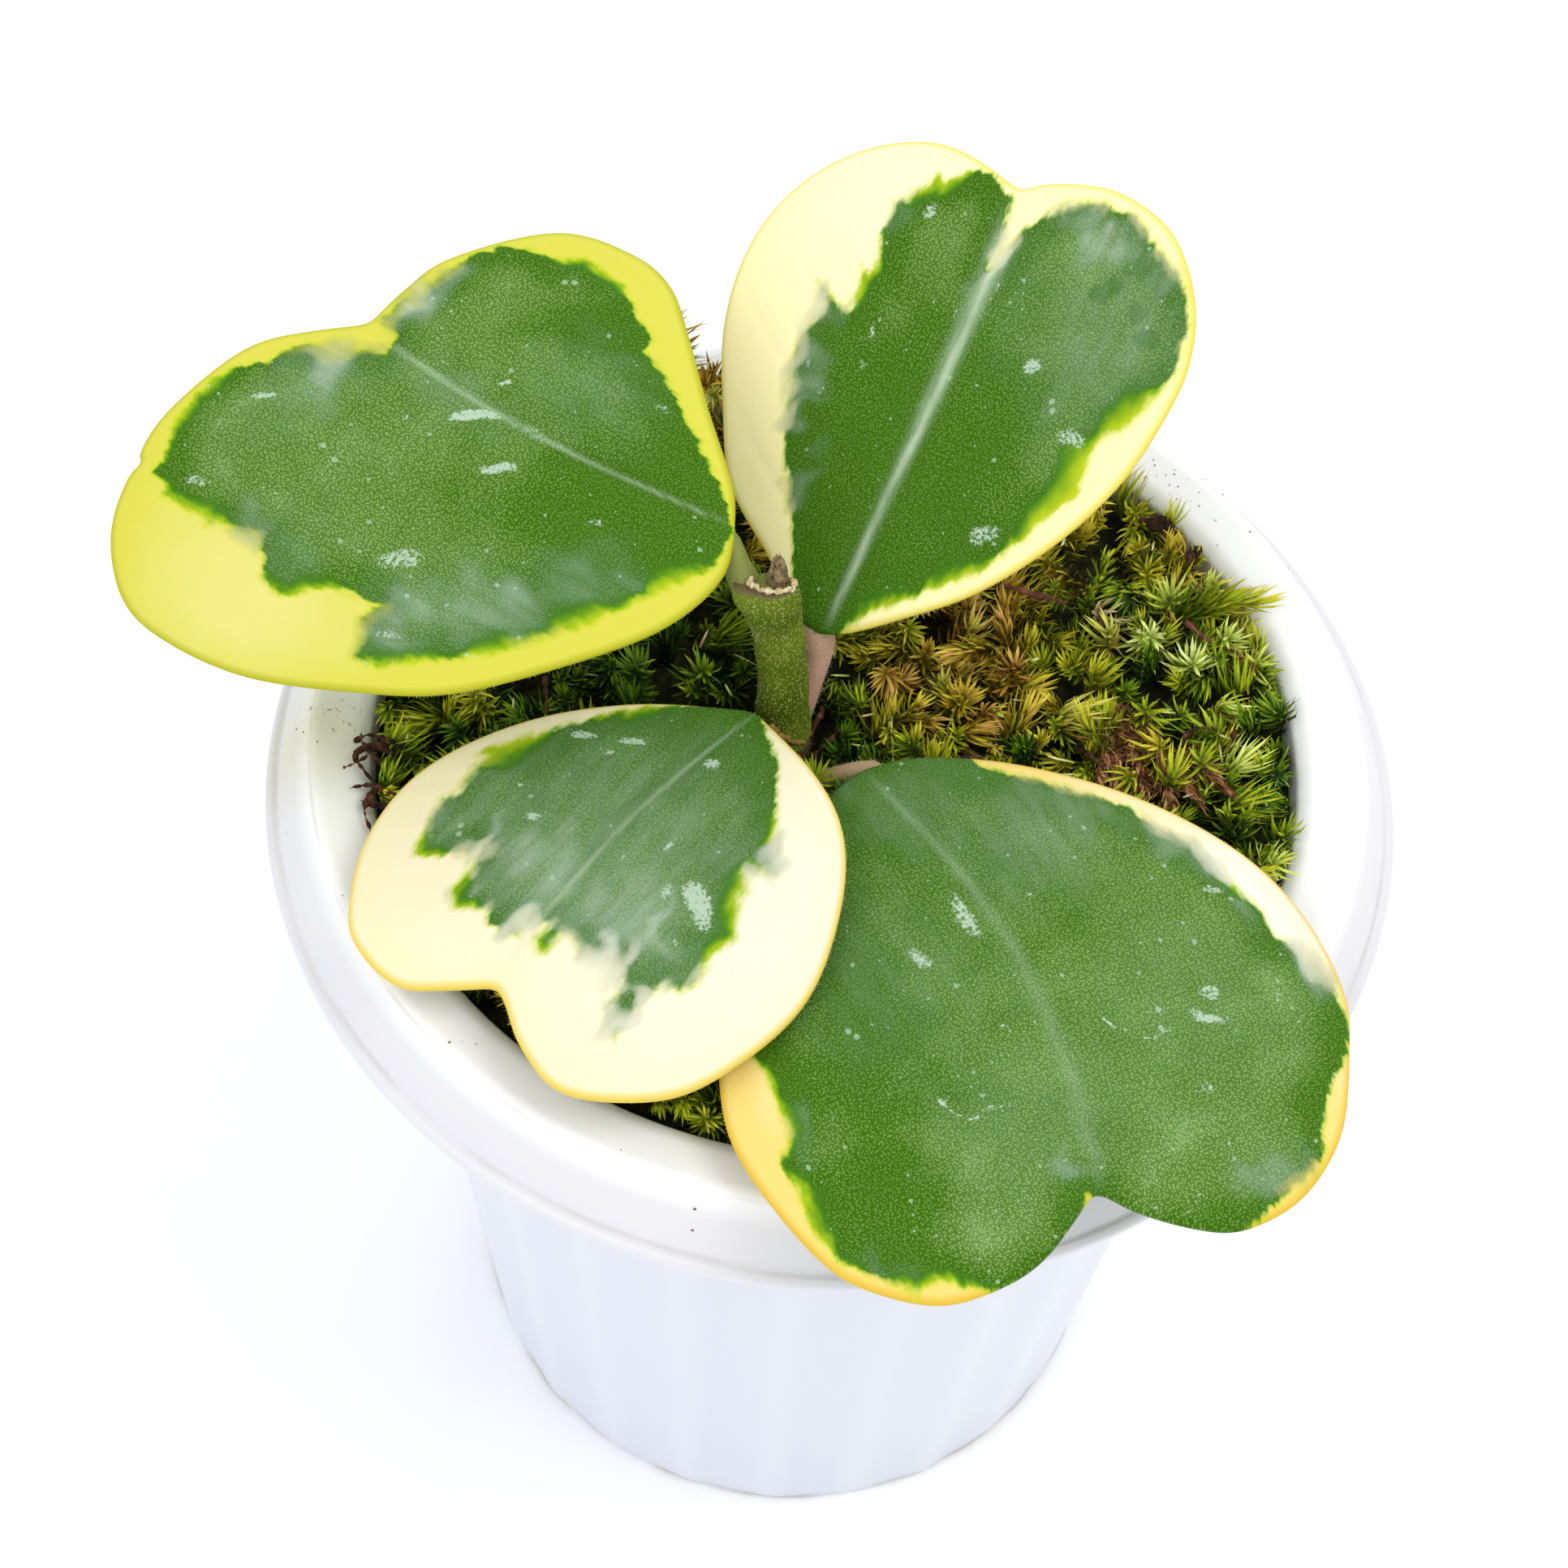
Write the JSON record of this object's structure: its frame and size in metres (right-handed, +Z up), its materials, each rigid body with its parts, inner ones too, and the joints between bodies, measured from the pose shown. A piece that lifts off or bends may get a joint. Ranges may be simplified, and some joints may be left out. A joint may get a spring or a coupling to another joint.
{
  "type": "variegated sweetheart hoya in a pot",
  "caption": "Small climbing plant with thick heart-shaped leaves, green with cream and yellow margins, on a short upright stem, in moss and soil in a white tapered plastic pot.",
  "frame": {"origin": "middle of the pot's foot, on the surface that it stands on", "axes": "+Z up along the pot's axis; +Y away from the viewer of the picture; +X to the viewer's right"},
  "size_m": [0.1348, 0.1269, 0.1539],
  "materials": {
    "pot_plastic": "glossy moulded white plastic, lightly scuffed and dusty",
    "soil": "damp dark peat and coir mix",
    "moss_green": "living cushion moss, soft and matt with pale tips",
    "moss_brown": "dry brown moss",
    "stem_bark": "olive green stem with pale speckles",
    "leaf_blade": "thick waxy leaf, speckled green with a cream to lemon margin",
    "twig": "dry reddish brown twig",
    "bark": "dark dry bark"
  },
  "bodies": {
    "root": {"pot": "pot_plastic", "soil": "soil", "moss": "moss_green", "moss_dead": "moss_brown", "stem": "stem_bark", "leaf_left": "leaf_blade", "leaf_back": "leaf_blade", "leaf_front": "leaf_blade", "leaf_right": "leaf_blade", "twig_red": "twig", "twig_dry": "twig", "bark_chip": "bark", "husk": "bark"}
  },
  "joints": []
}
